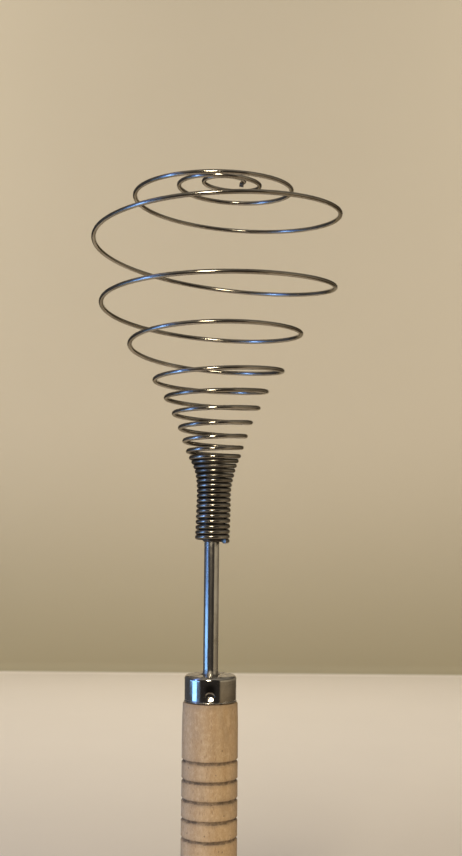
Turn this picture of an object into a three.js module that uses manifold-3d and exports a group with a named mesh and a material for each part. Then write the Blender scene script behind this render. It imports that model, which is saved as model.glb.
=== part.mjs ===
// Spiral whisk with a wooden handle.
// One long wire is wound into a closed collar and then into an open head of widening loops.
// The collar grips a plug on the end of a steel rod, and the rod's tang sits in a turned handle
// under a pressed steel ferrule. Millimetres, +Z up along the handle. The origin is the centre
// of the handle's flat butt.

import * as THREE from "three";
import { mergeVertices } from "three/addons/utils/BufferGeometryUtils.js";
import Module from "manifold-3d";

// General clearance between two pieces that seat on each other
const SEAT_GAP = 0.3;

// Turned handle
const HANDLE_LENGTH = 105;
const HANDLE_DIAMETER = 18.4;
const NECK_DIAMETER = 17.9;
const NECK_FLARE_LENGTH = 8;
const NECK_ROUND = 0.5;
const BUTT_DIAMETER = 17.4;
const BUTT_TAPER_LENGTH = 34;
const BUTT_ROUND = 4.6;

// Grip grooves, counted down from the ferrule
const GROOVE_COUNT = 5;
const GROOVE_PITCH = 6.2;
const GROOVE_WIDTH = 1.5;
const GROOVE_DEPTH = 0.5;
const FIRST_GROOVE_DEPTH = 18.2;

// Pressed ferrule
const FERRULE_DIAMETER = 17;
const FERRULE_HEIGHT = 8.6;
const FERRULE_WALL = 0.6;
const FERRULE_ROUND = 1.1;
const FERRULE_HOLE = 6.2;
const LIP_HEIGHT = 0.7;
const LIP_PROUD = 0.2;

// Punch mark that locks the ferrule on the wood
const PUNCH_DIAMETER = 3.3;
const PUNCH_DEPTH = 0.6;
const PUNCH_HEIGHT = 2.6;

// Steel rod
const ROD_DIAMETER = 5;
const ROD_REACH = 44.6;
const TANG_LENGTH = 52;
const TANG_POINT = 3;
const RIVET_DIAMETER = 6.8;
const RIVET_HEIGHT = 1.1;

// Plug that carries the collar
const PLUG_DIAMETER = 7.7;
const PLUG_LENGTH = 19;
const PLUG_NOSE_DIAMETER = 6.2;
const PLUG_NOSE_DROP = 0.65;
const PLUG_NOSE_LENGTH = 1.8;
const PLUG_CHAMFER = 0.5;

// Wire and its closed collar
const WIRE_DIAMETER = 1.4;
const COIL_GAP = 0.3;
const COLLAR_TURNS = 12;
const WIRE_START_TURN = -0.11;

// Flare: the closed coils over the collar, which widen and begin to tip
const FLARE_TURNS = 4;
const FLARE_GROWTH = 2.4;
const FLARE_LEAN = 0.9;

// Open head, measured at the wire's middle: its widest loop, its height over the flare, and the
// few tenths of a degree by which it leans off the rod's line
const HEAD_DIAMETER = 84.8;
const HEAD_HEIGHT = 94.5;
const HEAD_LEAN = 0.4;

// Facets
const HANDLE_FACETS = 40;
const FERRULE_FACETS = 48;
const ROD_FACETS = 28;
const ARC_STEPS = 5;
const GROOVE_STEPS = 6;
const WIRE_SIDES = 6;
const COLLAR_STEPS = 12;
const LOOP_STEPS = 24;
const PUNCH_FACETS = 20;

// The open head, one row for each place where the wire's sweep changes: turns past the flare,
// growth as a share of the way from the flare's radius to the widest loop's, rise as a share of
// the head's height, sideways shift of the loop's centre as a share of the widest loop's radius,
// and the lean of the loop's plane in degrees. Loops bent by hand are never quite true.
const HEAD_STATIONS = [
  { turn: 1, growth: 0.035, rise: 0.019, shift: 0.002, lean: 1.2 },
  { turn: 2, growth: 0.068, rise: 0.045, shift: 0, lean: 1.1 },
  { turn: 3, growth: 0.107, rise: 0.083, shift: 0, lean: 1 },
  { turn: 4, growth: 0.157, rise: 0.128, shift: -0.002, lean: 0.9 },
  { turn: 5, growth: 0.226, rise: 0.181, shift: -0.005, lean: 0.4 },
  { turn: 6, growth: 0.311, rise: 0.24, shift: -0.01, lean: 0 },
  { turn: 7, growth: 0.463, rise: 0.315, shift: -0.014, lean: -2.4 },
  { turn: 7.5, growth: 0.611, rise: 0.393, shift: -0.017, lean: -2.7 },
  { turn: 8, growth: 0.651, rise: 0.455, shift: -0.021, lean: -2.6 },
  { turn: 8.5, growth: 0.869, rise: 0.538, shift: -0.026, lean: -1.6 },
  { turn: 9, growth: 0.969, rise: 0.624, shift: -0.028, lean: -0.6 },
  { turn: 9.5, growth: 1, rise: 0.775, shift: -0.005, lean: -0.5 },
  { turn: 10, growth: 0.946, rise: 0.884, shift: 0.019, lean: -0.4 },
  { turn: 10.5, growth: 0.674, rise: 0.946, shift: 0.042, lean: 0 },
  { turn: 11, growth: 0.443, rise: 0.967, shift: 0.045, lean: 0.5 },
  { turn: 11.5, growth: 0.251, rise: 0.987, shift: 0.045, lean: 1 },
  { turn: 12, growth: 0.131, rise: 0.981, shift: 0.045, lean: 1.6 },
  { turn: 12.5, growth: 0.023, rise: 1, shift: 0.057, lean: 1.9 },
  { turn: 13.08, growth: -0.066, rise: 0.999, shift: 0.071, lean: 2.2 },
];

// Places and fits that follow from the sizes above
const HANDLE_RADIUS = HANDLE_DIAMETER / 2;
const NECK_RADIUS = NECK_DIAMETER / 2;
const BUTT_RADIUS = BUTT_DIAMETER / 2;
const FERRULE_RADIUS = FERRULE_DIAMETER / 2;
const FERRULE_INNER_RADIUS = FERRULE_RADIUS - FERRULE_WALL;
const FERRULE_BASE = HANDLE_LENGTH + SEAT_GAP;
const FERRULE_TOP = FERRULE_BASE + FERRULE_HEIGHT;
const SPIGOT_RADIUS = FERRULE_INNER_RADIUS - SEAT_GAP;
const SPIGOT_TOP = FERRULE_TOP - FERRULE_WALL - SEAT_GAP;
const INNER_ROUND = Math.max(FERRULE_ROUND - FERRULE_WALL, SEAT_GAP);
const ROD_RADIUS = ROD_DIAMETER / 2;
const TANG_END = HANDLE_LENGTH - TANG_LENGTH;
const BORE_RADIUS = ROD_RADIUS + SEAT_GAP;
const COLLAR_BASE = FERRULE_TOP + ROD_REACH;
const PLUG_RADIUS = PLUG_DIAMETER / 2;
const PLUG_BASE = COLLAR_BASE - PLUG_NOSE_DROP;
const PLUG_TOP = COLLAR_BASE + PLUG_LENGTH;
const RIVET_BASE = PLUG_TOP + SEAT_GAP;
const WIRE_RADIUS = WIRE_DIAMETER / 2;
const COLLAR_PITCH = WIRE_DIAMETER + COIL_GAP;
const COLLAR_RADIUS = (PLUG_RADIUS + SEAT_GAP + WIRE_RADIUS) / Math.cos(Math.PI / COLLAR_STEPS);
const FLARE_END_TURN = COLLAR_TURNS + FLARE_TURNS;
const FLARE_RADIUS = COLLAR_RADIUS + FLARE_GROWTH;
const FLARE_HEIGHT = FLARE_TURNS * COLLAR_PITCH;
const HEAD_RADIUS = HEAD_DIAMETER / 2;
const PUNCH_RADIUS = ((PUNCH_DIAMETER / 2) ** 2 + PUNCH_DEPTH ** 2) / (2 * PUNCH_DEPTH);
const PUNCH_CENTRE = new THREE.Vector3(
  0,
  PUNCH_DEPTH - FERRULE_RADIUS - PUNCH_RADIUS,
  FERRULE_BASE + PUNCH_HEIGHT
);

const wasm = await Module();
wasm.setup();

const material = (color, roughness, metalness) =>
  new THREE.MeshStandardMaterial({ color, roughness, metalness });

const BEECH = material(0xc6a172, 0.72, 0);
const CHROMED_CAP = material(0xa9a498, 0.22, 1);
const POLISHED_ROD = material(0xb9b7b2, 0.16, 1);
const DARK_STEEL = material(0x4a4640, 0.45, 1);
const SPRING_STEEL = material(0xa39f97, 0.2, 1);

/** Points along an arc in a profile, both ends included. Angles are in degrees. */
function arc(centreR, centreZ, radius, fromAngle, toAngle, steps = ARC_STEPS) {
  return Array.from({ length: steps + 1 }, (_, step) => {
    const angle = THREE.MathUtils.degToRad(
      THREE.MathUtils.lerp(fromAngle, toAngle, step / steps)
    );
    return new THREE.Vector2(
      centreR + radius * Math.cos(angle),
      centreZ + radius * Math.sin(angle)
    );
  });
}

/** A profile of radius and height, drawn up the outside and down the inside, spun round Z. */
function revolve(profile, facets) {
  return new THREE.LatheGeometry(profile, facets).rotateX(Math.PI / 2);
}

/** A closed geometry as a solid that can be joined and cut. */
function toSolid(geometry) {
  const bare = geometry.clone();
  bare.deleteAttribute("normal");
  bare.deleteAttribute("uv");
  const merged = mergeVertices(bare);
  const corners = merged.index.array;
  const kept = [];
  for (let first = 0; first < corners.length; first += 3) {
    const [a, b, c] = corners.slice(first, first + 3);
    if (a !== b && b !== c && c !== a) {
      kept.push(a, b, c);
    }
  }
  const mesh = new wasm.Mesh({
    numProp: 3,
    vertProperties: merged.attributes.position.array,
    triVerts: new Uint32Array(kept),
  });
  return new wasm.Manifold(mesh);
}

/** A joined or cut solid as a geometry. */
function toGeometry(solid) {
  const mesh = solid.getMesh();
  const geometry = new THREE.BufferGeometry();
  geometry.setAttribute("position", new THREE.BufferAttribute(mesh.vertProperties, 3));
  geometry.setIndex(new THREE.BufferAttribute(mesh.triVerts, 1));
  geometry.computeVertexNormals();
  return geometry;
}

/** The ball that the punch leaves, grown by a wall or a clearance. */
function punchBall(growth) {
  const ball = new THREE.SphereGeometry(PUNCH_RADIUS + growth, PUNCH_FACETS, PUNCH_FACETS / 2);
  return toSolid(ball.translate(...PUNCH_CENTRE));
}

/** The outside radius of the turned wood at a height, without its grooves. */
function woodRadius(height) {
  const flare = THREE.MathUtils.smoothstep(
    height,
    HANDLE_LENGTH - NECK_FLARE_LENGTH,
    HANDLE_LENGTH
  );
  const swell = THREE.MathUtils.smoothstep(height, 0, BUTT_TAPER_LENGTH);
  const body = THREE.MathUtils.lerp(BUTT_RADIUS, HANDLE_RADIUS, swell);
  return THREE.MathUtils.lerp(body, NECK_RADIUS, flare);
}

/** One grip groove: a channel with worn, rounded shoulders, from its lower edge to its upper. */
function groove(index) {
  const middle = HANDLE_LENGTH - FIRST_GROOVE_DEPTH - index * GROOVE_PITCH;
  return Array.from({ length: GROOVE_STEPS + 1 }, (_, step) => {
    const across = step / GROOVE_STEPS;
    const height = middle + (across - 0.5) * GROOVE_WIDTH;
    const depth = GROOVE_DEPTH * Math.sin(Math.PI * across) ** 2;
    return new THREE.Vector2(woodRadius(height) - depth, height);
  });
}

/** Evenly spaced points on the plain wood between two heights, both ends included. */
function plainWood(fromHeight, toHeight, steps) {
  return Array.from({ length: steps + 1 }, (_, step) => {
    const height = THREE.MathUtils.lerp(fromHeight, toHeight, step / steps);
    return new THREE.Vector2(woodRadius(height), height);
  });
}

/** Turned handle: flat butt, five grooves, a shoulder, and a spigot bored for the tang. */
function handleGeometry() {
  const buttCornerRadius = woodRadius(BUTT_ROUND) - BUTT_ROUND;
  const grooves = Array.from({ length: GROOVE_COUNT }, (_, index) =>
    groove(GROOVE_COUNT - 1 - index)
  ).flat();
  const boreEnd = TANG_END - SEAT_GAP;
  const profile = [
    new THREE.Vector2(0, 0),
    ...arc(buttCornerRadius, BUTT_ROUND, BUTT_ROUND, -90, 0),
    ...plainWood(BUTT_ROUND, BUTT_TAPER_LENGTH, ARC_STEPS).slice(1),
    ...grooves,
    ...plainWood(HANDLE_LENGTH - NECK_FLARE_LENGTH, HANDLE_LENGTH - NECK_ROUND, ARC_STEPS),
    ...arc(NECK_RADIUS - NECK_ROUND, HANDLE_LENGTH - NECK_ROUND, NECK_ROUND, 0, 90).slice(1),
    new THREE.Vector2(SPIGOT_RADIUS, HANDLE_LENGTH),
    ...arc(SPIGOT_RADIUS - INNER_ROUND, SPIGOT_TOP - INNER_ROUND, INNER_ROUND, 0, 90),
    new THREE.Vector2(BORE_RADIUS, SPIGOT_TOP),
    new THREE.Vector2(BORE_RADIUS, boreEnd + TANG_POINT),
    new THREE.Vector2(0, boreEnd),
  ];
  const turned = toSolid(revolve(profile, HANDLE_FACETS));
  return toGeometry(turned.subtract(punchBall(FERRULE_WALL + SEAT_GAP)));
}

/** Pressed ferrule: a thin cup with a rounded rim, a rod hole, a turned lip and a punch mark. */
function ferruleGeometry() {
  const lipRadius = FERRULE_RADIUS + LIP_PROUD;
  const lipRound = LIP_HEIGHT / 2;
  const innerTop = FERRULE_TOP - FERRULE_WALL;
  const profile = [
    new THREE.Vector2(FERRULE_INNER_RADIUS, FERRULE_BASE),
    ...arc(lipRadius - lipRound, FERRULE_BASE + lipRound, lipRound, -90, 60),
    new THREE.Vector2(FERRULE_RADIUS, FERRULE_BASE + LIP_HEIGHT),
    ...arc(FERRULE_RADIUS - FERRULE_ROUND, FERRULE_TOP - FERRULE_ROUND, FERRULE_ROUND, 0, 90),
    new THREE.Vector2(FERRULE_HOLE / 2, FERRULE_TOP),
    new THREE.Vector2(FERRULE_HOLE / 2, innerTop),
    ...arc(FERRULE_INNER_RADIUS - INNER_ROUND, innerTop - INNER_ROUND, INNER_ROUND, 90, 0),
    new THREE.Vector2(FERRULE_INNER_RADIUS, FERRULE_BASE),
  ];
  const core = new THREE.CylinderGeometry(
    FERRULE_RADIUS - FERRULE_WALL / 2,
    FERRULE_RADIUS - FERRULE_WALL / 2,
    FERRULE_HEIGHT,
    FERRULE_FACETS
  );
  core.rotateX(Math.PI / 2).translate(0, 0, FERRULE_BASE + FERRULE_HEIGHT / 2);
  const pushedIn = toSolid(core).intersect(punchBall(FERRULE_WALL));
  const cup = toSolid(revolve(profile, FERRULE_FACETS));
  return toGeometry(cup.add(pushedIn).subtract(punchBall(0)));
}

/** Rod: a blunt-pointed tang, a plain shank and an end riveted over the plug. */
function rodGeometry() {
  const rivetRadius = RIVET_DIAMETER / 2;
  const rivetSide = RIVET_HEIGHT / 2;
  const rivetTop = RIVET_BASE + RIVET_HEIGHT;
  const profile = [
    new THREE.Vector2(0, TANG_END),
    new THREE.Vector2(ROD_RADIUS / 2, TANG_END + TANG_POINT / 2),
    new THREE.Vector2(ROD_RADIUS, TANG_END + TANG_POINT),
    new THREE.Vector2(ROD_RADIUS, RIVET_BASE),
    new THREE.Vector2(rivetRadius, RIVET_BASE),
    ...arc(rivetRadius - rivetSide, rivetTop - rivetSide, rivetSide, 0, 90),
    new THREE.Vector2(0, rivetTop),
  ];
  return revolve(profile, ROD_FACETS);
}

/** Plug: a bush on the rod's end, with a tapered nose that shows below the lowest coil. */
function plugGeometry() {
  const profile = [
    new THREE.Vector2(BORE_RADIUS, PLUG_BASE),
    new THREE.Vector2(PLUG_NOSE_DIAMETER / 2, PLUG_BASE),
    new THREE.Vector2(PLUG_RADIUS, PLUG_BASE + PLUG_NOSE_LENGTH),
    new THREE.Vector2(PLUG_RADIUS, PLUG_TOP - PLUG_CHAMFER),
    new THREE.Vector2(PLUG_RADIUS - PLUG_CHAMFER, PLUG_TOP),
    new THREE.Vector2(BORE_RADIUS, PLUG_TOP),
    new THREE.Vector2(BORE_RADIUS, PLUG_BASE),
  ];
  return revolve(profile, ROD_FACETS);
}

/** One place along the wire, at a height over the collar's top, on the head's leaning line. */
function station(turn, radius, heightOverCollar, shift, leanDegrees) {
  const leaning = Math.tan(THREE.MathUtils.degToRad(HEAD_LEAN)) * Math.max(heightOverCollar, 0);
  return {
    turn,
    radius,
    height: COLLAR_TURNS * COLLAR_PITCH + heightOverCollar,
    shift: shift + leaning,
    lean: THREE.MathUtils.degToRad(leanDegrees),
  };
}

/** The stations of the collar, the flare and the head, as radii and heights over the base. */
function wireStations() {
  const collar = [WIRE_START_TURN, COLLAR_TURNS / 2, COLLAR_TURNS - 1].map((turn) =>
    station(turn, COLLAR_RADIUS, (turn - COLLAR_TURNS) * COLLAR_PITCH, 0, 0)
  );
  const flare = Array.from({ length: FLARE_TURNS + 1 }, (_, turn) => {
    const share = (turn / FLARE_TURNS) ** 2;
    return station(
      COLLAR_TURNS + turn,
      COLLAR_RADIUS + FLARE_GROWTH * share,
      turn * COLLAR_PITCH,
      0,
      FLARE_LEAN * share
    );
  });
  const head = HEAD_STATIONS.map((row) =>
    station(
      FLARE_END_TURN + row.turn,
      THREE.MathUtils.lerp(FLARE_RADIUS, HEAD_RADIUS, row.growth),
      FLARE_HEIGHT + HEAD_HEIGHT * row.rise,
      HEAD_RADIUS * row.shift,
      row.lean
    )
  );
  return [...collar, ...flare, ...head];
}

/** How fast one column changes over the stretch that starts at a station. */
function rateFrom(stations, column, index) {
  const from = stations[index];
  const to = stations[index + 1];
  return (to[column] - from[column]) / (to.turn - from.turn);
}

/** Slope of one column at a station, shared between the stretches before and after it. */
function slopeAt(stations, column, index) {
  if (index === 0) {
    return rateFrom(stations, column, 0);
  }
  if (index === stations.length - 1) {
    return rateFrom(stations, column, index - 1);
  }
  const spanBefore = stations[index].turn - stations[index - 1].turn;
  const spanAfter = stations[index + 1].turn - stations[index].turn;
  const rateBefore = rateFrom(stations, column, index - 1);
  const rateAfter = rateFrom(stations, column, index);
  return (spanAfter * rateBefore + spanBefore * rateAfter) / (spanBefore + spanAfter);
}

/** One column of the stations at any turn, on a smooth curve through all of them. */
function between(stations, column, turn) {
  const next = Math.max(1, stations.findIndex((station) => station.turn >= turn));
  const from = stations[next - 1];
  const to = stations[next];
  const span = to.turn - from.turn;
  const share = (turn - from.turn) / span;
  const square = share * share;
  const cube = square * share;
  return (2 * cube - 3 * square + 1) * from[column]
    + (cube - 2 * square + share) * span * slopeAt(stations, column, next - 1)
    + (3 * square - 2 * cube) * to[column]
    + (cube - square) * span * slopeAt(stations, column, next);
}

/** The middle of the wire at a turn. */
function wirePoint(stations, turn) {
  const angle = 2 * Math.PI * turn;
  const radius = between(stations, "radius", turn);
  const depth = radius * Math.sin(angle);
  return new THREE.Vector3(
    radius * Math.cos(angle) + between(stations, "shift", turn),
    depth,
    between(stations, "height", turn) + Math.tan(between(stations, "lean", turn)) * depth
  );
}

/** The wire's path: finer steps on the open loops, and a straight end of one diameter each way. */
function wirePath() {
  const stations = wireStations();
  const lastTurn = stations[stations.length - 1].turn;
  const turns = [WIRE_START_TURN];
  for (let step = 0; step < COLLAR_TURNS * COLLAR_STEPS; step += 1) {
    turns.push(step / COLLAR_STEPS);
  }
  for (let step = COLLAR_TURNS * LOOP_STEPS; step / LOOP_STEPS < lastTurn; step += 1) {
    turns.push(step / LOOP_STEPS);
  }
  turns.push(lastTurn);
  const path = turns.map((turn) => wirePoint(stations, turn));
  const straightEnd = (end, inner) =>
    end.clone().add(end.clone().sub(inner).setLength(WIRE_DIAMETER));
  path.unshift(straightEnd(path[0], path[1]));
  path.push(straightEnd(path[path.length - 1], path[path.length - 2]));
  return path;
}

/** A ring of points round the wire, square to its run, with a flat side up and one down. */
function wireRing(path, index) {
  const before = path[Math.max(index - 1, 0)];
  const after = path[Math.min(index + 1, path.length - 1)];
  const along = after.clone().sub(before).normalize();
  const outward = along.clone().cross(new THREE.Vector3(0, 0, 1)).normalize();
  const upward = outward.clone().cross(along);
  return Array.from({ length: WIRE_SIDES }, (_, side) => {
    const angle = (2 * Math.PI * side) / WIRE_SIDES;
    return path[index]
      .clone()
      .addScaledVector(outward, WIRE_RADIUS * Math.cos(angle))
      .addScaledVector(upward, WIRE_RADIUS * Math.sin(angle));
  });
}

/** The least distance between two rings' points that lie over half a turn apart. */
function leastGap(rings, path) {
  let least = Infinity;
  for (let first = 0; first < rings.length; first += 1) {
    for (let second = first + COLLAR_STEPS / 2 + 1; second < rings.length; second += 1) {
      if (path[first].distanceTo(path[second]) < least + WIRE_DIAMETER) {
        for (const a of rings[first]) {
          for (const b of rings[second]) {
            least = Math.min(least, a.distanceTo(b));
          }
        }
      }
    }
  }
  return least;
}

/** The whole wire as one unbroken tube with flat cut ends. */
function wireGeometry() {
  const path = wirePath();
  const rings = path.map((_, index) => wireRing(path, index));
  const index = [];
  for (let ring = 0; ring < rings.length - 1; ring += 1) {
    for (let side = 0; side < WIRE_SIDES; side += 1) {
      const a = ring * WIRE_SIDES + side;
      const b = ring * WIRE_SIDES + ((side + 1) % WIRE_SIDES);
      index.push(a, b + WIRE_SIDES, b, a, a + WIRE_SIDES, b + WIRE_SIDES);
    }
  }
  const last = (rings.length - 1) * WIRE_SIDES;
  for (let side = 1; side < WIRE_SIDES - 1; side += 1) {
    index.push(0, side, side + 1);
    index.push(last, last + side + 1, last + side);
  }
  const geometry = new THREE.BufferGeometry().setFromPoints(rings.flat());
  geometry.setIndex(index);
  geometry.computeVertexNormals();
  console.log(`Least gap of the wire to itself: ${leastGap(rings, path).toFixed(2)} mm`);
  return geometry;
}

/** A named mesh of one sub-part. */
function subPart(name, geometry, finish) {
  const mesh = new THREE.Mesh(geometry, finish);
  mesh.name = name;
  return mesh;
}

const springWire = subPart("spring_wire", wireGeometry(), SPRING_STEEL);
springWire.position.z = COLLAR_BASE;

const gripGroup = new THREE.Group();
gripGroup.add(subPart("handle", handleGeometry(), BEECH));
gripGroup.add(subPart("ferrule", ferruleGeometry(), CHROMED_CAP));

const stemGroup = new THREE.Group();
stemGroup.add(subPart("rod", rodGeometry(), POLISHED_ROD));
stemGroup.add(subPart("spring_plug", plugGeometry(), DARK_STEEL));
stemGroup.add(springWire);

const group = new THREE.Group();
group.add(gripGroup, stemGroup);

export default group;
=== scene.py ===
"""A spiral whisk: one sprung wire wound into a collar and an open head, on a rod with a wooden handle.

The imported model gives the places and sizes. This script turns, winds and dresses the visible
pieces round it, and sets a plain studio with the camera at the photograph's viewing angle.
"""

import logging
import math
from collections.abc import Callable, Iterable, Sequence
from dataclasses import dataclass, field
from enum import Enum
from functools import reduce

import bpy
from bpy.types import ID, Material, Node, NodeSocket, NodeTree, Object
from mathutils import Matrix, Vector


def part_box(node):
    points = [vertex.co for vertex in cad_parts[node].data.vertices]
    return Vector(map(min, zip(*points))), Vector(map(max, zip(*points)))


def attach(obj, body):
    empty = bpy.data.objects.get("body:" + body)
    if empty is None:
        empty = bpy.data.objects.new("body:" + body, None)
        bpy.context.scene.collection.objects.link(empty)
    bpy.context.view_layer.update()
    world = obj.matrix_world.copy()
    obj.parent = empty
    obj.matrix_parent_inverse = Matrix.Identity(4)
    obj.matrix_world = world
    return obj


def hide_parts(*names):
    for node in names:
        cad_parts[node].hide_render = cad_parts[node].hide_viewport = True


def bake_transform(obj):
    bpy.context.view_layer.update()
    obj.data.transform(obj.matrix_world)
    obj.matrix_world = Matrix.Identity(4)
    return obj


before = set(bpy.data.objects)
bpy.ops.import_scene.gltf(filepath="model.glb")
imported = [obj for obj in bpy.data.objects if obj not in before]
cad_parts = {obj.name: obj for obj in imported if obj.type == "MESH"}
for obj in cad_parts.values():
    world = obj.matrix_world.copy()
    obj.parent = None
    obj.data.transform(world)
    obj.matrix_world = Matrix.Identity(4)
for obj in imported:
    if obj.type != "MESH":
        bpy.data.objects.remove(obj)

log = logging.getLogger("whisk")

MM = 0.001
STEM = "stem"
# The bare rod between the ferrule's top and the wire's first coil.
ROD_REACH = 44.2 * MM

Colour = tuple[float, float, float]
Paint = Colour | NodeSocket
Profile = list[tuple[float, float]]


class Term:
    """A number that varies over a surface: one output socket among a material's nodes."""

    def __init__(self, bench: "NodeBench", socket: NodeSocket) -> None:
        """Keep the socket and the bench that adds nodes beside it."""
        self.bench = bench
        self.socket = socket

    def _maths(self, operation: str, *values: "Term | float") -> "Term":
        """A Math node's result on some values."""
        return self.bench.term("ShaderNodeMath", {"operation": operation}, dict(enumerate(values)))

    def __add__(self, other: "Term | float") -> "Term":
        """This term plus another."""
        return self._maths("ADD", self, other)

    __radd__ = __add__

    def __sub__(self, other: "Term | float") -> "Term":
        """This term less another."""
        return self._maths("SUBTRACT", self, other)

    def __rsub__(self, other: float) -> "Term":
        """A number less this term."""
        return self._maths("SUBTRACT", other, self)

    def __mul__(self, other: "Term | float") -> "Term":
        """This term times another."""
        return self._maths("MULTIPLY", self, other)

    def __pow__(self, other: float) -> "Term":
        """This term to a power."""
        return self._maths("POWER", self, other)

    def larger(self, other: "Term | float") -> "Term":
        """The larger of this term and another."""
        return self._maths("MAXIMUM", self, other)

    def size(self) -> "Term":
        """This term without its sign."""
        return self._maths("ABSOLUTE", self)

    def step_up(self, start: float, end: float) -> "Term":
        """A smooth step from 0 to 1.

        Args:
            start: Where it is still 0.
            end: Where it is 1, which may lie below the start.

        Returns:
            The step as a new term.
        """
        inputs = {"Value": self, "From Min": min(start, end), "From Max": max(start, end)}
        if start > end:
            inputs |= {"To Min": 1.0, "To Max": 0.0}
        return self.bench.term("ShaderNodeMapRange", {"interpolation_type": "SMOOTHSTEP"}, inputs)


class NodeBench:
    """Adds nodes and links to one node tree."""

    MIX_FACTOR, MIX_FIRST, MIX_SECOND, MIX_RESULT = 0, 6, 7, 2

    def __init__(self, tree: NodeTree) -> None:
        """Keep the tree."""
        self.tree = tree

    def node(self, kind: str, settings: dict, inputs: dict) -> Node:
        """Add a node, set it and feed its sockets.

        Args:
            kind: The node's type name.
            settings: Its properties by name, which are set first.
            inputs: Values, terms or sockets by socket name or number.

        Returns:
            The new node.
        """
        node = self.tree.nodes.new(kind)
        for key, value in settings.items():
            setattr(node, key, value)
        for key, value in inputs.items():
            self.feed(node.inputs[key], value)
        return node

    def feed(self, socket: NodeSocket, value: object) -> None:
        """Link a term or a socket to a socket, or set a plain value on it.

        Args:
            socket: The socket that is fed.
            value: A term, a socket, a colour or a number.
        """
        if isinstance(value, Term):
            self.tree.links.new(value.socket, socket)
        elif isinstance(value, NodeSocket):
            self.tree.links.new(value, socket)
        elif socket.type == "RGBA":
            socket.default_value = (*value, 1.0)
        else:
            socket.default_value = value

    def term(self, kind: str, settings: dict, inputs: dict, output: str | int = 0) -> Term:
        """Add a node and take one of its outputs as a term."""
        return Term(self, self.node(kind, settings, inputs).outputs[output])

    def axes(self, vector: NodeSocket) -> tuple[Term, Term, Term]:
        """The X, Y and Z of a vector as three terms."""
        node = self.node("ShaderNodeSeparateXYZ", {}, {"Vector": vector})
        return tuple(Term(self, output) for output in node.outputs)

    def coordinates(self, kind: str) -> NodeSocket:
        """One of the Texture Coordinate node's outputs."""
        return self.node("ShaderNodeTexCoord", {}, {}).outputs[kind]

    def stretched(self, vector: NodeSocket, scale: Sequence[float]) -> NodeSocket:
        """A vector times a number for each axis."""
        settings = {"operation": "MULTIPLY"}
        return self.node("ShaderNodeVectorMath", settings, {0: vector, 1: scale}).outputs["Vector"]

    def vector(self, x: object, y: object, z: object) -> NodeSocket:
        """Three terms or numbers as one vector."""
        return self.node("ShaderNodeCombineXYZ", {}, {"X": x, "Y": y, "Z": z}).outputs["Vector"]

    def attribute(self, name: str) -> Term:
        """A piece's own number attribute."""
        return self.term("ShaderNodeAttribute", {"attribute_name": name}, {}, "Fac")

    def noise(self, vector: NodeSocket, detail: float = 3, rough: float = 0.55, warp: float = 0) -> Term:
        """Cloudy noise from 0 to 1, one cloud to a unit, with finer layers and warped as told."""
        inputs = {"Vector": vector, "Scale": 1.0, "Detail": detail, "Roughness": rough, "Distortion": warp}
        return self.term("ShaderNodeTexNoise", {}, inputs)

    def mixed(self, share: Term, low: Paint, high: Paint) -> NodeSocket:
        """Two colours mixed by a share, from 0 for the first to 1 for the second."""
        inputs = {self.MIX_FACTOR: share, self.MIX_FIRST: low, self.MIX_SECOND: high}
        return self.node("ShaderNodeMix", {"data_type": "RGBA"}, inputs).outputs[self.MIX_RESULT]

    def layered(self, ground: Paint, *layers: tuple[Term, Paint]) -> Paint:
        """Colours laid over each other.

        Args:
            ground: The lowest colour.
            layers: The share and the colour of each layer over it, in turn.

        Returns:
            The colour that shows.
        """
        for share, paint in layers:
            ground = self.mixed(share, ground, paint)
        return ground


class FinishBench(NodeBench):
    """Builds one material on its Principled shader, in the piece's own coordinates."""

    def __init__(self, name: str) -> None:
        """Start a material.

        Args:
            name: Its name.
        """
        self.material = bpy.data.materials.new(name)
        self.material.use_nodes = True
        super().__init__(self.material.node_tree)
        self.shader = self.tree.nodes["Principled BSDF"]
        self.place = self.coordinates("Object")
        self.x, self.y, self.z = self.axes(self.place)

    def clouds(self, density: Sequence[float], *settings: float) -> Term:
        """Noise over the piece, with so many clouds per metre along each axis."""
        return self.noise(self.stretched(self.place, density), *settings)

    def dots(self, density: Sequence[float]) -> Term:
        """The distance to the nearest of many scattered points, so many per metre along each axis."""
        inputs = {"Vector": self.stretched(self.place, density), "Scale": 1.0}
        return self.term("ShaderNodeTexVoronoi", {}, inputs)

    def bumped(self, height: Term, distance: float, strength: float) -> NodeSocket:
        """A surface raised by a height, which counts in units of distance in metres."""
        inputs = {"Height": height, "Distance": distance, "Strength": strength}
        return self.node("ShaderNodeBump", {}, inputs).outputs["Normal"]

    def finish(self, **sockets: object) -> Material:
        """Feed the shader.

        Args:
            sockets: Values by socket name, with underscores for spaces.

        Returns:
            The material.
        """
        for name, value in sockets.items():
            self.feed(self.shader.inputs[name.replace("_", " ")], value)
        return self.material


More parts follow.
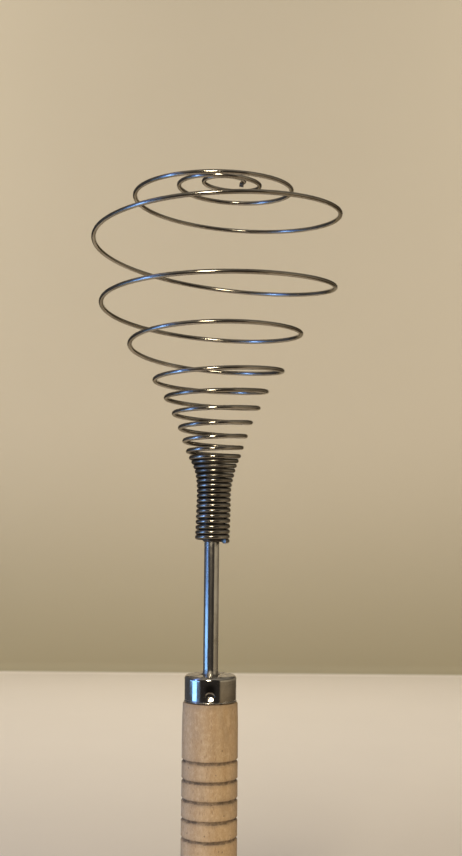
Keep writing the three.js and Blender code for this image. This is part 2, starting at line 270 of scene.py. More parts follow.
@dataclass(frozen=True)
class BeechFinish:
    """Pale unvarnished beech: flecked along the grain, with dark worn grooves."""

    grooves: tuple[float, ...]
    groove_half: float
    shoulder: float
    pale: Colour = (0.54, 0.385, 0.235)
    light: Colour = (0.64, 0.48, 0.315)
    warm: Colour = (0.43, 0.275, 0.14)
    fleck: Colour = (0.25, 0.145, 0.07)
    char: Colour = (0.045, 0.032, 0.024)
    # Colour for darker patches, for the soot round the grooves, and for the painted shade under the ferrule.
    grime_and_shade: Colour = (0.30, 0.215, 0.14)

    def material(self) -> Material:
        """Build the wood.

        Returns:
            The material.
        """
        bench = FinishBench("beech_wood")
        bands = bench.clouds((330, 210, 14), 4.0, 0.6, 0.5)
        mottle = bench.clouds((1100, 1100, 620), 3.0, 0.65)
        fibre = bench.clouds((3200, 3200, 170), 3.0, 0.7)
        fine = bench.clouds((4200, 4200, 1900), 2.0, 0.7)
        kept = bench.clouds((620, 620, 210), 1.0).step_up(0.46, 0.62)
        flecks = bench.dots((1700, 1700, 420)).step_up(0.34, 0.14) * kept
        specks = bench.dots((360, 360, 300)).step_up(0.12, 0.05)
        dark_patch = bench.clouds((170, 170, 75), 4.0, 0.6).step_up(0.46, 0.74)
        # Darker just under the ferrule: painted shade with some soiling.
        neck = bench.z.step_up(self.shoulder - 2.4 * MM, self.shoulder - 0.2 * MM)
        char, soot = self.groove_masks(bench)
        away = (bench.x * bench.x + bench.y * bench.y) ** 0.5
        end_rings = bench.noise(bench.vector(away * 1500.0, 0.0, 0.0), 2.0).step_up(0.4, 0.6)
        butt = bench.z.step_up(1.6 * MM, 0.1 * MM) * (end_rings * 0.4 + 0.25)
        body = bench.layered(
            self.pale,
            (bands.step_up(0.32, 0.74) * 0.7, self.warm),
            (mottle.step_up(0.50, 0.68) * 0.60, self.light),
            (mottle.step_up(0.48, 0.30) * 0.45, self.warm),
            (fibre.step_up(0.50, 0.76) * 0.22, self.warm),
            (fine.step_up(0.50, 0.30) * 0.50, self.light),
            (fine.step_up(0.52, 0.70) * 0.40, self.warm),
            (flecks * 0.50, self.fleck),
            (specks * 0.55, self.char),
            (dark_patch * 0.38, self.grime_and_shade),
            (neck * 0.38, self.grime_and_shade),
            (soot, self.grime_and_shade),
            (char, self.char),
            (butt, self.fleck),
        )
        height = fibre * 0.55 + fine * 0.3 - flecks * 0.5 - specks * 0.8 + mottle * 0.25
        return bench.finish(
            Base_Color=body,
            Roughness=0.72 - fine * 0.16 - dark_patch * 0.10 + char * 0.15,
            Specular_IOR_Level=0.32,
            Normal=bench.bumped(height, 0.06 * MM, 0.7),
        )

    def groove_masks(self, bench: FinishBench) -> tuple[Term, Term]:
        """Where the grooves are dark with char, and where soot has spread round them.

        Args:
            bench: The material's bench.

        Returns:
            The char and the soot, each from 0 to 1.
        """
        crumbs = bench.clouds((1500, 1500, 1300), 3.0, 0.65)
        drift = bench.clouds((330, 330, 420), 2.0)
        level = bench.z + (crumbs - 0.5) * (0.8 * MM) + (drift - 0.5) * (0.5 * MM)
        offsets = [(level - height).size() for height in self.grooves]
        half = self.groove_half
        char = reduce(Term.larger, [away.step_up(half * 0.95, half * 0.2) for away in offsets])
        soot = reduce(Term.larger, [away.step_up(half * 2.1, half * 0.5) for away in offsets])
        patches = bench.clouds((520, 520, 520), 3.0, 0.6).step_up(0.30, 0.68)
        return char * (patches * 0.45 + 0.38), soot * (patches * 0.40 + 0.22)


class Lay(Enum):
    """Which way a metal piece was drawn, turned or polished.

    The values are the densities of its fine marks and of its wide clouds, per metre along each
    axis. For the wire they are per metre along it and per quarter turn round it.
    """

    ALONG_AXIS = ((3400, 3400, 60), (230, 230, 70))
    ROUND_AXIS = ((70, 70, 3600), (190, 190, 230))
    ALONG_WIRE = ((190, 9, 0), (60, 0.9, 0))


@dataclass(frozen=True)
class PlatedFinish:
    """Bright plate over steel, with fine marks, tarnish, and painted shade with some soiling in its seams and
    coils.

    Seams are heights, collar is the first and the last height of the closed coils, and the dark
    patch on the front, given by its height and its reach, is a painted dark reflection.
    """

    name: str
    lay: Lay
    bright: Colour = (0.62, 0.59, 0.545)
    dull: Colour = (0.43, 0.395, 0.345)
    tarnish: Colour = (0.20, 0.155, 0.105)
    # Dark colour of the painted shade and the painted reflection, and of some soiling.
    dirt_and_shade: Colour = (0.035, 0.027, 0.02)
    edge: Colour = (1.0, 1.0, 1.0)
    smooth: float = 0.12
    worn: float = 0.30
    tarnish_share: float = 0.35
    mark_depth: float = 0.004 * MM
    seams: tuple[float, ...] = ()
    seam_reach: float = 1.2 * MM
    collar: tuple[float, float] | None = None
    # The height and the reach of a painted dark reflection on the front.
    dark_patch: tuple[float, float] | None = None

    def surface(self, bench: FinishBench) -> tuple[Term, Term]:
        """The fine marks and the wide clouds that follow the piece's lay.

        Args:
            bench: The material's bench.

        Returns:
            The marks and the clouds, each from 0 to 1.
        """
        place = bench.place
        if self.lay is Lay.ALONG_WIRE:
            place = bench.vector(bench.attribute("wire_run"), bench.attribute("wire_round"), 0.0)
        marks, clouds = (bench.stretched(place, density) for density in self.lay.value)
        return bench.noise(marks, 4.0, 0.65), bench.noise(clouds, 4.0, 0.6, 0.6)

    def seam_shade_mask(self, bench: FinishBench) -> Term:
        """Where painted shade darkens the metal: between the collar's coils, and at the seams along with some
        soiling.

        Args:
            bench: The material's bench.

        Returns:
            The painted shade from 0 to 1.
        """
        if self.collar:
            low, high = self.collar
            within = bench.z.step_up(low - 2 * MM, low - 1 * MM) * bench.z.step_up(high + 5 * MM, high)
            # Painted shade between the collar's coils, on the faces that look up, down and inwards.
            return bench.attribute("wire_coil_shade") * within
        # Painted shade at the seams, in patches, with some soiling.
        offsets = [(bench.z - height).size() for height in self.seams]
        near = reduce(Term.larger, [away.step_up(self.seam_reach, 0.0) for away in offsets])
        return near * bench.clouds((900, 900, 900), 3.0).step_up(0.35, 0.7)

    def painted_reflection_mask(self, bench: FinishBench) -> Term:
        """Where the painted dark reflection on the front is.

        Args:
            bench: The material's bench.

        Returns:
            The painted dark reflection from 0 to 1.
        """
        height, reach = self.dark_patch
        rise = bench.z - height
        away = (bench.x * bench.x + rise * rise) ** 0.5
        return away.step_up(reach, 0.3 * reach) * bench.y.step_up(0.0, -1 * MM)

    def material(self) -> Material:
        """Build the plated metal.

        Returns:
            The material.
        """
        bench = FinishBench(self.name)
        marks, clouds = self.surface(bench)
        spots = bench.dots((760, 760, 760)).step_up(0.15, 0.05)
        stained = bench.clouds((360, 360, 360), 5.0, 0.7).step_up(0.50, 0.70) * self.tarnish_share
        grime_and_shade = self.seam_shade_mask(bench)
        layers = [
            (clouds.step_up(0.34, 0.66) * 0.8, self.dull),
            (marks.step_up(0.50, 0.68) * 0.5, self.dull),
            (stained.larger(spots * (self.tarnish_share * 0.9)), self.tarnish),
        ]
        # A painted dark reflection on the front.
        if self.dark_patch:
            layers.append((self.painted_reflection_mask(bench) * 0.75, self.dirt_and_shade))
        # Painted shade between the coils, and painted shade with some soiling at the seams.
        layers.append((grime_and_shade * 0.85, self.dirt_and_shade))
        roughness = self.smooth + clouds.step_up(0.38, 0.76) * (self.worn - self.smooth)
        return bench.finish(
            Base_Color=bench.layered(self.bright, *layers),
            Metallic=1.0,
            Specular_Tint=self.edge,
            Roughness=roughness + marks * 0.06 + stained * 0.15 + grime_and_shade * 0.35,
            Normal=bench.bumped(marks - spots * 0.6, self.mark_depth, 0.6),
        )


class Workbench:
    """The modelling steps that the pieces share."""

    CLOSE = 0.0005 * MM

    @staticmethod
    def clear() -> None:
        """Leave edit mode and deselect everything."""
        if bpy.context.object and bpy.context.object.mode != "OBJECT":
            bpy.ops.object.mode_set(mode="OBJECT")
        bpy.ops.object.select_all(action="DESELECT")

    @staticmethod
    def choose(piece: Object) -> None:
        """Select one object and make it active.

        Args:
            piece: The object.
        """
        Workbench.clear()
        piece.select_set(True)
        bpy.context.view_layer.objects.active = piece

    @staticmethod
    def added(name: str, data: ID) -> Object:
        """Put a curve, a lamp or a camera into the scene.

        Args:
            name: The new object's name.
            data: What it shows.

        Returns:
            The new object, at the origin.
        """
        piece = bpy.data.objects.new(name, data)
        bpy.context.scene.collection.objects.link(piece)
        return piece

    @staticmethod
    def pick(piece: Object, kind: str, wanted: Callable[[object], bool]) -> None:
        """Edit a mesh with only some of its faces or edges selected.

        Args:
            piece: The piece.
            kind: FACE or EDGE.
            wanted: Whether to select one of them.
        """
        Workbench.choose(piece)
        bpy.ops.object.mode_set(mode="EDIT")
        bpy.ops.mesh.select_mode(type=kind)
        bpy.ops.mesh.select_all(action="DESELECT")
        bpy.ops.object.mode_set(mode="OBJECT")
        for part in piece.data.polygons if kind == "FACE" else piece.data.edges:
            part.select = wanted(part)
        bpy.ops.object.mode_set(mode="EDIT")

    @staticmethod
    def leave() -> None:
        """Deselect the mesh and leave edit mode."""
        bpy.ops.mesh.select_all(action="DESELECT")
        bpy.ops.mesh.select_mode(type="VERT")
        bpy.ops.object.mode_set(mode="OBJECT")

    @staticmethod
    def extrude(move: Sequence[float]) -> None:
        """Extrude what is selected by a move in metres."""
        bpy.ops.mesh.extrude_region_move(TRANSFORM_OT_translate={"value": move})

    @staticmethod
    def weld(piece: Object) -> None:
        """Join the points that lie on each other, and turn every face outwards.

        Args:
            piece: The piece.
        """
        Workbench.choose(piece)
        bpy.ops.object.mode_set(mode="EDIT")
        bpy.ops.mesh.select_all(action="SELECT")
        bpy.ops.mesh.remove_doubles(threshold=Workbench.CLOSE)
        bpy.ops.mesh.normals_make_consistent(inside=False)
        Workbench.leave()

    @staticmethod
    def turned(name: str, profile: Profile, facets: int, ring: bool = False) -> Object:
        """Turn a profile round Z, as on a lathe, by extruding and resizing a circle.

        Args:
            name: The piece's name.
            profile: Radius and height of each ring in metres, in order.
            facets: Points in a ring.
            ring: Whether the profile ends where it starts, round an open bore.

        Returns:
            The turned piece, at the origin.
        """
        Workbench.clear()
        radius, height = profile[0]
        bpy.ops.mesh.primitive_circle_add(vertices=facets, radius=radius, location=(0, 0, height))
        piece = bpy.context.object
        piece.name = name
        piece.data.name = name
        bpy.ops.object.transform_apply(location=True, rotation=True, scale=True)
        bpy.ops.object.mode_set(mode="EDIT")
        bpy.ops.mesh.select_all(action="SELECT")
        for (radius_before, height_before), (radius, height) in zip(profile, profile[1:]):
            Workbench.extrude((0, 0, height - height_before))
            grow = radius / radius_before
            bpy.ops.transform.resize(value=(grow, grow, 1), center_override=(0, 0, height))
        if not ring:
            bpy.ops.mesh.merge(type="CENTER")
            bpy.ops.mesh.select_non_manifold()
            bpy.ops.mesh.merge(type="CENTER")
        Workbench.weld(piece)
        return piece

    @staticmethod
    def weigh(piece: Object, name: str, weight: Callable[[Vector], float]) -> None:
        """Give a piece a vertex group.

        Args:
            piece: The piece.
            name: The group's name.
            weight: The weight at a point, from 0 to 1.
        """
        group = piece.vertex_groups.new(name=name)
        for vertex in piece.data.vertices:
            amount = weight(vertex.co)
            if amount > 0:
                group.add([vertex.index], amount, "REPLACE")

    @staticmethod
    def apply(piece: Object, kind: str, **settings: object) -> None:
        """Add a modifier, set it and apply it.

        Args:
            piece: The piece.
            kind: The modifier's type.
            settings: Its properties by name.
        """
        Workbench.choose(piece)
        modifier = piece.modifiers.new(kind.lower(), kind)
        for key, value in settings.items():
            setattr(modifier, key, value)
        bpy.ops.object.modifier_apply(modifier=modifier.name)

    @staticmethod
    def smooth(piece: Object, angle: float = 40) -> None:
        """Shade a piece smooth where its faces meet below an angle in degrees."""
        Workbench.choose(piece)
        bpy.ops.object.shade_smooth_by_angle(angle=math.radians(angle))

    @staticmethod
    def dress(piece: Object, material: Material, slot: str, node: str) -> None:
        """Give a piece its material and let it stand for its CAD node.

        Args:
            piece: The piece.
            material: The material.
            slot: The material's slot in the record; not used.
            node: The CAD node.
        """
        piece.data.materials.clear()
        piece.data.materials.append(material)
        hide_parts(node)


def arc(centre: tuple[float, float], radius: float, start: float, end: float, steps: int) -> Profile:
    """Points along a profile's arc, both ends included, with angles in degrees from straight out."""
    angles = [math.radians(start + (end - start) * step / steps) for step in range(steps + 1)]
    return [(centre[0] + radius * math.cos(a), centre[1] + radius * math.sin(a)) for a in angles]


def ease(value: float, start: float, end: float) -> float:
    """A smooth step from 0 to 1 as a value goes from start to end."""
    share = min(1.0, max(0.0, (value - start) / (end - start)))
    return share * share * (3 - 2 * share)


def lerp(start: float, end: float, share: float) -> float:
    """The value at a share of the way from start to end."""
    return start + (end - start) * share


def ferrule_base() -> float:
    """The height of the ferrule's lower end."""
    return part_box("ferrule")[0].z


def collar_base() -> float:
    """The height where the wire's first coil starts on the rod."""
    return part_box("ferrule")[1].z + ROD_REACH


@dataclass
class TurnedHandle:
    """The wooden handle, with its worn grooves, its shoulder and its spigot."""

    length: float = 105 * MM
    radius: float = 9.2 * MM
    neck_radius: float = 9.03 * MM
    neck_flare: float = 8 * MM
    neck_round: float = 0.5 * MM
    butt_radius: float = 8.7 * MM
    butt_taper: float = 34 * MM
    butt_round: float = 4.6 * MM
    groove_count: int = 5
    groove_pitch: float = 6.2 * MM
    groove_half: float = 0.78 * MM
    groove_floor: float = 0.06 * MM
    groove_depth: float = 0.5 * MM
    groove_lip: float = 0.03 * MM
    lip_spread: float = 0.2 * MM
    first_groove: float = 18.6 * MM
    spigot_radius: float = 7.6 * MM
    wide_step: float = 0.9 * MM
    fine_step: float = 0.1 * MM
    wear: float = 0.15 * MM
    even_wear: float = 0.15
    wear_grain: float = 1.1 * MM
    wear_spread: float = 0.5 * MM
    tip: float = 0.04
    facets: int = 160

    def groove_heights(self) -> tuple[float, ...]:
        """The middle of each groove, from the lowest up."""
        top = self.length - self.first_groove
        return tuple(top - index * self.groove_pitch for index in reversed(range(self.groove_count)))

    def off_groove(self, height: float) -> float:
        """How far a height is from the nearest groove's middle."""
        return min(abs(height - middle) for middle in self.groove_heights())

    def wood_radius(self, height: float) -> float:
        """The outside radius, grooves included.

        Args:
            height: The height above the butt.

        Returns:
            The radius there.
        """
        body = lerp(self.butt_radius, self.radius, ease(height, 0, self.butt_taper))
        flare = ease(height, self.length - self.neck_flare, self.length)
        away = self.off_groove(height)
        cut = self.groove_depth * (1 - ease(away, self.groove_floor, self.groove_half))
        lip = self.groove_lip * math.exp(-(((away - self.groove_half) / self.lip_spread) ** 2))
        return lerp(body, self.neck_radius, flare) - cut + lip

    def side(self) -> Profile:
        """The side between the rounded butt and the shoulder, finely stepped in the grooves.

        Returns:
            The side's points, from the lowest up.
        """
        points = []
        height = self.butt_round + self.wide_step
        while height < self.length - self.neck_round - self.wide_step / 2:
            points.append((self.wood_radius(height), height))
            away = min(self.off_groove(height), self.off_groove(height + self.wide_step))
            height += self.fine_step if away < self.groove_half * 1.5 else self.wide_step
        return points

    def profile(self) -> Profile:
        """The whole outline.

        Returns:
            The outline's points, from the butt's flat to the spigot's top.
        """
        corner = self.wood_radius(self.butt_round) - self.butt_round
        points = [(corner * share, 0.0) for share in (self.tip, 0.35, 0.7)]
        points += arc((corner, self.butt_round), self.butt_round, -90, 0, 10)
        points += self.side()
        top = self.length - self.neck_round
        points += arc((self.neck_radius - self.neck_round, top), self.neck_round, 0, 90, 5)
        points.append((self.spigot_radius, self.length))
        spigot_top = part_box("handle")[1].z
        points += [(self.spigot_radius, spigot_top), (self.spigot_radius * self.tip, spigot_top)]
        return points

    def wear_at(self, point: Vector) -> float:
        """How uneven the wood is at a point: most at the lips of the grooves."""
        away = self.off_groove(point.z) - 0.55 * self.groove_half
        return self.even_wear + (1 - self.even_wear) * math.exp(-((away / self.wear_spread) ** 2))

    def build(self) -> Object:
        """Turn the handle, wear it and dress it.

        Returns:
            The finished piece.
        """
        piece = Workbench.turned("wooden_handle", self.profile(), self.facets)
        texture = bpy.data.textures.new("grip_wear", "CLOUDS")
        texture.noise_scale = self.wear_grain
        Workbench.weigh(piece, "worn", self.wear_at)
        settings = {"texture": texture, "strength": self.wear, "mid_level": 0.5, "vertex_group": "worn"}
        Workbench.apply(piece, "DISPLACE", texture_coords="LOCAL", **settings)
        Workbench.smooth(piece, angle=50)
        finish = BeechFinish(self.groove_heights(), self.groove_half, self.length)
        Workbench.dress(piece, finish.material(), "beech_wood", "handle")
        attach(piece, STEM)
        return piece


@dataclass
class PressedFerrule:
    """The thin plated cup over the spigot, with its rod hole, lip and punch mark."""

    radius: float = 8.6 * MM
    height: float = 8.6 * MM
    wall: float = 0.6 * MM
    rim_round: float = 1.3 * MM
    dome: float = 0.12 * MM
    hole_radius: float = 3.1 * MM
    hole_round: float = 0.22 * MM
    lip_height: float = 0.42 * MM
    lip_proud: float = 0.06 * MM
    lip_crease: float = 0.04 * MM
    punch_radius: float = 1.55 * MM
    punch_depth: float = 0.45 * MM
    punch_height: float = 2.35 * MM
    punch_skew: float = 0.6
    punch_cuts: int = 2
    rows: int = 24
    facets: int = 208
    base: float = field(default_factory=ferrule_base)

    def profile(self) -> Profile:
        """The wall's outline.

        Returns:
            The outline's points, up the outside and down the inside.
        """
        base = self.base
        top = base + self.height
        lip_round = self.lip_height / 2
        lip_centre = (self.radius + self.lip_proud - lip_round, base + lip_round)
        inner = self.radius - self.wall
        points = [(inner, base)]
        points += arc(lip_centre, lip_round, -90, 55, 8)
        points.append((self.radius - self.lip_crease, base + self.lip_height * 1.12))
        low, high = base + self.lip_height * 1.5, top - self.rim_round
        points += [(self.radius, lerp(low, high, row / self.rows)) for row in range(self.rows)]
        rim = arc((self.radius - self.rim_round, high), self.rim_round, 0, 86, 9)
        points += rim
        for share in (0.25, 0.5, 0.75):
            across = lerp(rim[-1][0], self.hole_radius + self.hole_round, share)
            points.append((across, top + self.dome * share - 0.02 * MM))
        crown = top + self.dome - self.hole_round
        points += arc((self.hole_radius + self.hole_round, crown), self.hole_round, 90, 180, 4)
        points += [(self.hole_radius, top - self.wall), (inner, top - self.wall)]
        points += [(inner, lerp(high, low, row / self.rows)) for row in range(self.rows + 1)]
        points.append((inner, base))
        return points

    def off_punch(self, point: Vector) -> float:
        """How far a point is from the punch mark's middle, seen from the front."""
        return math.hypot(point.x, point.z - self.base - self.punch_height)

    def by_punch(self, point: Vector) -> bool:
        """Whether a point is on the front, at the punch mark or close round it."""
        return point.y < 0 and self.off_punch(point) < self.punch_radius * 1.5

    def punched(self, point: Vector) -> float:
        """How deep the punch pushed the wall in, on the front only.

        Args:
            point: A point of the wall.

        Returns:
            The depth there, from 0 to about 1.
        """
        if point.y > 0:
            return 0.0
        away = self.off_punch(point) / self.punch_radius
        rise = (point.z - self.base - self.punch_height) / self.punch_radius
        bowl = max(0.0, 1 - away * away) ** 0.8
        drawn_in = 0.05 * math.exp(-(((away - 1.2) / 0.25) ** 2))
        return bowl * (1 + self.punch_skew * rise) / (1 + self.punch_skew / 6) + drawn_in

    def build(self) -> Object:
        """Press the cup, punch it and dress it.

        Returns:
            The finished piece.
        """
        piece = Workbench.turned("plated_ferrule", self.profile(), self.facets, ring=True)
        Workbench.pick(piece, "FACE", lambda face: self.by_punch(face.center))
        bpy.ops.mesh.subdivide(number_cuts=self.punch_cuts)
        Workbench.leave()
        Workbench.weigh(piece, "punch", self.punched)
        settings = {"strength": self.punch_depth, "mid_level": 0.0, "direction": "Y"}
        Workbench.apply(piece, "DISPLACE", vertex_group="punch", **settings)
        Workbench.smooth(piece)
        finish = PlatedFinish(
            "plated_cap",
            Lay.ROUND_AXIS,
            tarnish_share=0.22,
            smooth=0.05,
            worn=0.13,
            mark_depth=0.001 * MM,
            # Painted shade at the lip and round the rod hole, with some soiling.
            seams=(self.base, self.base + self.lip_height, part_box("ferrule")[1].z),
            seam_reach=0.7 * MM,
            # A painted dark reflection over the punch mark's upper half and above it.
            dark_patch=(self.base + self.punch_height + 1.5 * self.punch_radius, 1.6 * self.punch_radius),
        )
        Workbench.dress(piece, finish.material(), "plated_cap", "ferrule")
        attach(piece, STEM)
        return piece


@dataclass
class SteelRod:
    """The rod, from its tang in the wood to its end riveted over the plug."""

    radius: float = 2.5 * MM
    rivet_radius: float = 3.4 * MM
    rivet_height: float = 1.1 * MM
    point: float = 3 * MM
    tip: float = 0.06
    foot_drop: float = 0.5 * MM
    foot_flare: float = 0.24 * MM
    foot_height: float = 2.2 * MM
    foot_rows: int = 16
    rows: int = 40
    facets: int = 96

    def side(self, start: float, end: float) -> Profile:
        """The straight side, finely stepped where the foot flares a little above the ferrule.

        Args:
            start: The side's lowest height.
            end: Its highest.

        Returns:
            The side's points.
        """
        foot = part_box("ferrule")[1].z - self.foot_drop
        above = foot + self.foot_height
        heights = [lerp(start, foot, row / self.rows) for row in range(self.rows)]
        heights += [lerp(foot, above, row / self.foot_rows) for row in range(self.foot_rows + 1)]
        heights += [lerp(above, end, row / self.rows) for row in range(1, self.rows + 1)]
        points = []
        for height in heights:
            share = min(1.0, abs(height - foot) / self.foot_height)
            points.append((self.radius + self.foot_flare * (1 - share) ** 2, height))
        return points

    def build(self) -> Object:
        """Draw the rod and dress it.

        Returns:
            The finished piece.
        """
        low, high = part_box("rod")
        rivet_base = high.z - self.rivet_height
        start = low.z + self.point
        side = self.rivet_height / 2
        profile = [(self.radius * self.tip, low.z), (self.radius * 0.6, low.z + self.point / 2)]
        profile += self.side(start, rivet_base)
        profile.append((self.rivet_radius - 0.1 * MM, rivet_base))
        profile += arc((self.rivet_radius - side, high.z - side), side, -40, 90, 8)
        profile.append((self.radius * self.tip, high.z))
        piece = Workbench.turned("polished_rod", profile, self.facets)
        Workbench.smooth(piece)
        finish = PlatedFinish(
            "polished_rod",
            Lay.ALONG_AXIS,
            tarnish_share=0.2,
            smooth=0.14,
            worn=0.26,
            mark_depth=0.002 * MM,
            # Painted shade at the rod's foot and just under the collar, with some soiling.
            seams=(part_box("ferrule")[1].z, collar_base() - 0.6 * MM),
            seam_reach=2.4 * MM,
        )
        Workbench.dress(piece, finish.material(), "polished_rod", "rod")
        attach(piece, STEM)
        return piece


@dataclass
class SpringPlug:
    """The plug that fills the collar, with its tapered nose under the lowest coil."""

    bore_radius: float = 2.52 * MM
    nose_drop: float = 0.65 * MM
    nose_radius: float = 3.05 * MM
    nose_height: float = 1.1 * MM
    body_start: float = 1.7 * MM
    edge: float = 0.5 * MM
    facets: int = 96

    def build(self) -> Object:
        """Turn the plug and dress it.

        Returns:
            The finished piece.
        """
        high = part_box("spring_plug")[1]
        radius = high.x
        start = collar_base() - self.nose_drop
        shoulder = start + self.nose_height
        profile = [(self.bore_radius, start)]
        profile += arc((self.nose_radius - self.edge, shoulder - self.edge), self.edge, -60, 0, 5)
        profile += [(self.nose_radius, shoulder), (radius, start + self.body_start)]
        profile.append((radius, high.z - self.edge))
        profile += arc((radius - self.edge, high.z - self.edge), self.edge, 15, 90, 4)
        profile += [(self.bore_radius, high.z), (self.bore_radius, start)]
        piece = Workbench.turned("spring_plug_bush", profile, self.facets, ring=True)
        Workbench.smooth(piece)
        finish = PlatedFinish(
            "dark_plug",
            Lay.ROUND_AXIS,
            # Very dark colours: painted shade for the nose in the hollow under the lowest coil.
            bright=(0.19, 0.17, 0.145),
            dull=(0.11, 0.095, 0.08),
            smooth=0.30,
            worn=0.5,
            # Painted shade at the nose.
            seams=(start,),
        )
        Workbench.dress(piece, finish.material(), "dark_plug", "spring_plug")
        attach(piece, STEM)
        return piece


@dataclass(frozen=True)
class Station:
    """One place along the wire: turns, radius, height, sideways shift and lean of the loop."""

    turn: float
    radius: float
    height: float
    shift: float = 0.0
    lean: float = 0.0


def wound_stations() -> list[Station]:
    """The wire as it is wound, from the collar's first coil.

    Returns:
        Its stations, with lengths in millimetres and the lean in degrees.
    """
    return [
        Station(-0.11, 5.07, -0.25, 0.13),
        Station(0.15, 5.07, 0.12, 0.13),
        Station(2.0, 5.07, 3.02, 0.18),
        Station(4.0, 5.07, 6.62, 0.25),
        Station(6.0, 5.07, 10.1, 0.3),
        Station(11.0, 5.22, 18.5, 0.38),
        Station(12.0, 5.47, 20.08, 0.44),
        Station(13.0, 5.77, 21.7, 0.5),
        Station(14.0, 6.2, 23.32, 0.46, 0.3),
        Station(15.0, 6.75, 24.88, 0.36, 0.6),
        Station(16.0, 7.42, 26.48, 0.3, 0.9),
        Station(17.0, 8.25, 28.05, 0.18, 0.9),
        Station(18.0, 9.26, 30.95, 0.04, 0.6),
        Station(19.0, 10.63, 34.84, -0.06, 0.0),
        Station(20.0, 12.31, 39.44, -0.09, 0.46),
        Station(21.0, 14.89, 44.37, -0.19, 0.84),
        Station(22.0, 17.76, 50.02, -0.4, 0.9),
        Station(23.0, 23.16, 57.12, -0.57, -1.28),
        Station(23.5, 28.48, 64.4, -0.58, -3.11),
        Station(24.0, 29.74, 69.86, -1.09, -2.61),
        Station(24.5, 37.67, 77.84, -1.17, -1.96),
        Station(25.0, 41.15, 85.76, -1.22, -0.32),
        Station(25.5, 42.13, 100.39, -0.16, -0.44),
        Station(26.0, 40.24, 110.34, 0.83, -0.62),
        Station(26.5, 30.6, 116.55, 1.8, 0.61),
        Station(27.0, 22.51, 118.17, 1.83, 0.36),
        Station(27.5, 15.81, 120.57, 1.97, 0.87),
        Station(28.0, 11.58, 120.09, 1.99, 1.93),
        Station(28.5, 7.89, 122.03, 2.53, 2.37),
        Station(29.055, 4.95, 121.85, 3.15, 2.6),
    ]


